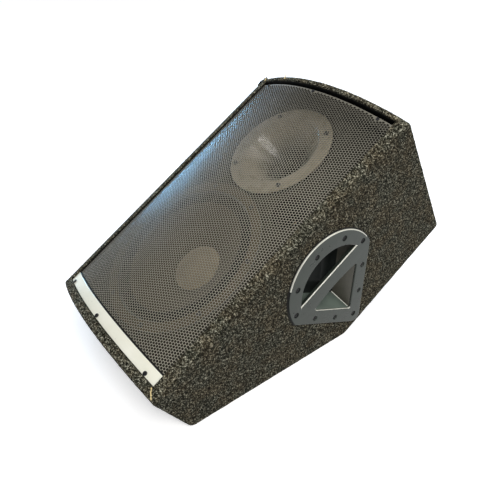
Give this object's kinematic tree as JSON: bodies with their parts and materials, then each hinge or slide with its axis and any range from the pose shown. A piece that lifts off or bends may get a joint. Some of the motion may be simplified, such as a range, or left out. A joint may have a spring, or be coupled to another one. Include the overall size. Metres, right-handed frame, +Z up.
{
  "type": "stage monitor wedge",
  "caption": "Carpeted self-powered floor monitor with a bowed perforated grille, woofer and horn on a sloping baffle, and a recessed bar handle in each side.",
  "frame": {"origin": "middle of the footprint, on the surface that the wedge stands on", "axes": "+Z up; +Y from the low front end, where the performer stands, to the high back end; +X to the right for the performer facing the grille"},
  "size_m": [0.3966, 0.6736, 0.4294],
  "materials": {
    "carpet": "charcoal heathered needle-punch cabinet carpet",
    "plywood": "bare birch plywood",
    "board_paint": "plywood with dark textured paint",
    "grille_steel": "satin black powder-coated perforated steel",
    "strip_aluminium": "satin champagne anodised aluminium",
    "screw_black": "black oxide steel",
    "handle_plastic": "slate grey satin moulded plastic",
    "basket_steel": "black enamelled pressed steel",
    "rubber": "matt black rubber",
    "cone_pulp": "pressed paper pulp, dark brown-grey",
    "steel": "zinc plated steel",
    "ferrite": "ground ferrite",
    "copper": "enamelled copper wire",
    "spider_cloth": "resin-treated corrugated cloth",
    "horn_plastic": "glossy dark grey-brown moulded horn",
    "titanium": "thin titanium foil",
    "black_plastic": "black moulded plastic",
    "panel_paint": "black powder-coated steel",
    "green_board": "green solder-masked circuit board",
    "red_lens": "red translucent lens"
  },
  "bodies": {
    "root": {"side_panel_right": "plywood", "side_panel_left": "plywood", "top_end_panel": "plywood", "bottom_end_panel": "plywood", "back_panel": "plywood", "floor_panel": "plywood", "brace": "plywood", "baffle_board": "board_paint", "carpet_side_right": "carpet", "carpet_side_left": "carpet", "carpet_wrap": "carpet", "grille": "grille_steel", "name_strip": "strip_aluminium", "grille_batten_low": "board_paint", "grille_batten_high": "board_paint", "strip_screw_1": "screw_black", "strip_screw_2": "screw_black", "strip_screw_3": "screw_black", "grille_screw_1": "screw_black", "grille_screw_2": "screw_black", "grille_screw_3": "screw_black", "handle_right": "handle_plastic", "handle_left": "handle_plastic", "handle_cup_right": "handle_plastic", "handle_cup_left": "handle_plastic", "woofer_basket": "basket_steel", "woofer_gasket": "rubber", "woofer_surround": "rubber", "spider": "spider_cloth", "motor_top_plate": "steel", "motor_magnet": "ferrite", "motor_back_plate": "steel", "horn_flare": "horn_plastic", "driver_body": "basket_steel", "driver_rear_cap": "black_plastic", "port_tube_right": "black_plastic", "port_tube_left": "black_plastic", "amp_panel": "panel_paint", "amp_chassis": "steel", "heat_sink": "panel_paint", "circuit_board": "green_board", "transformer": "copper", "input_socket": "black_plastic", "output_socket": "black_plastic", "lamp_lens": "red_lens", "mains_inlet": "black_plastic", "switch_bezel": "black_plastic", "woofer_lead": "rubber", "driver_lead": "rubber"},
    "woofer_moving_parts": {"woofer_cone": "cone_pulp", "dust_cap": "cone_pulp", "voice_coil": "copper"},
    "horn_diaphragm": {"driver_diaphragm": "titanium"},
    "level_control": {"level_knob": "black_plastic"},
    "bass_control": {"bass_knob": "black_plastic"},
    "treble_control": {"treble_knob": "black_plastic"},
    "latch": {"input_latch": "steel"},
    "ground_lift": {"ground_lift_button": "black_plastic"},
    "fuse_holder": {"fuse_drawer": "black_plastic"},
    "power_switch": {"power_rocker": "black_plastic"}
  },
  "joints": [
    {"name": "cone_travel", "type": "slide", "parent": "root", "child": "woofer_moving_parts", "axis": [0, -0.5, 0.866], "range_m": [-0.005, 0.005], "stiffness_N_per_m": 3000},
    {"name": "diaphragm_travel", "type": "slide", "parent": "root", "child": "horn_diaphragm", "axis": [0, -0.5, 0.866], "range_m": [-0.0003, 0.0003], "stiffness_N_per_m": 1500},
    {"name": "level_turn", "type": "hinge", "parent": "root", "child": "level_control", "pos_m": [0.062, 0.2527, 0.31113], "axis": [0, 0.8747, 0.4846], "range_deg": [-150, 150]},
    {"name": "bass_turn", "type": "hinge", "parent": "root", "child": "bass_control", "pos_m": [0.02, 0.2527, 0.31113], "axis": [0, 0.8747, 0.4846], "range_deg": [-150, 150]},
    {"name": "treble_turn", "type": "hinge", "parent": "root", "child": "treble_control", "pos_m": [-0.022, 0.2527, 0.31113], "axis": [0, 0.8747, 0.4846], "range_deg": [-150, 150]},
    {"name": "latch_press", "type": "slide", "parent": "root", "child": "latch", "axis": [0, 0.8747, 0.4846], "range_m": [-0.0015, 0], "stiffness_N_per_m": 400},
    {"name": "ground_lift_press", "type": "slide", "parent": "root", "child": "ground_lift", "axis": [0, 0.8747, 0.4846], "range_m": [-0.003, 0], "stiffness_N_per_m": 400},
    {"name": "fuse_drawer_pull", "type": "slide", "parent": "root", "child": "fuse_holder", "axis": [0, 0.8747, 0.4846], "range_m": [0, 0.016]},
    {"name": "power_rock", "type": "hinge", "parent": "root", "child": "power_switch", "pos_m": [0.032, 0.30319, 0.21792], "axis": [1, 0, 0], "range_deg": [-20, 0]}
  ]
}
